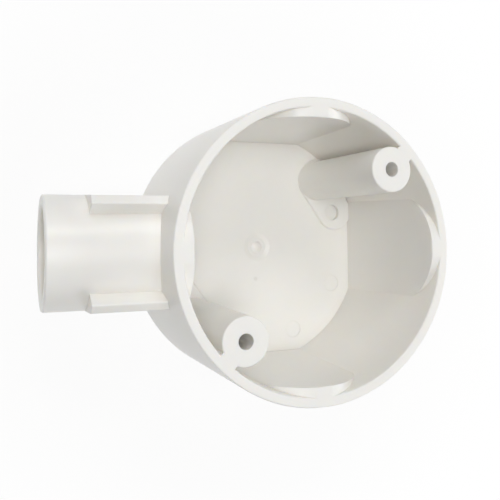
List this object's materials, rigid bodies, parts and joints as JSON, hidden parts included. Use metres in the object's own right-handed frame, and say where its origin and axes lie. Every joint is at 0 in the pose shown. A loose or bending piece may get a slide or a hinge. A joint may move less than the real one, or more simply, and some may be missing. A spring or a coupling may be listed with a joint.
{
  "type": "conduit junction box",
  "caption": "Round plastic conduit junction box, open at the mouth, with a side spout for conduit, screw pillars for a lid, flat pads on its ways and a flat back.",
  "frame": {"origin": "centre of the flat back of the box", "axes": "+Z out of the open mouth, -X along the conduit spout, the screw pillars lie on the diagonal between +X and +Y"},
  "size_m": [0.0896, 0.0668, 0.0372],
  "materials": {
    "white_pvc": "moulded warm white rigid PVC with a soft gloss"
  },
  "bodies": {
    "root": {"box_body": "white_pvc"}
  },
  "joints": []
}
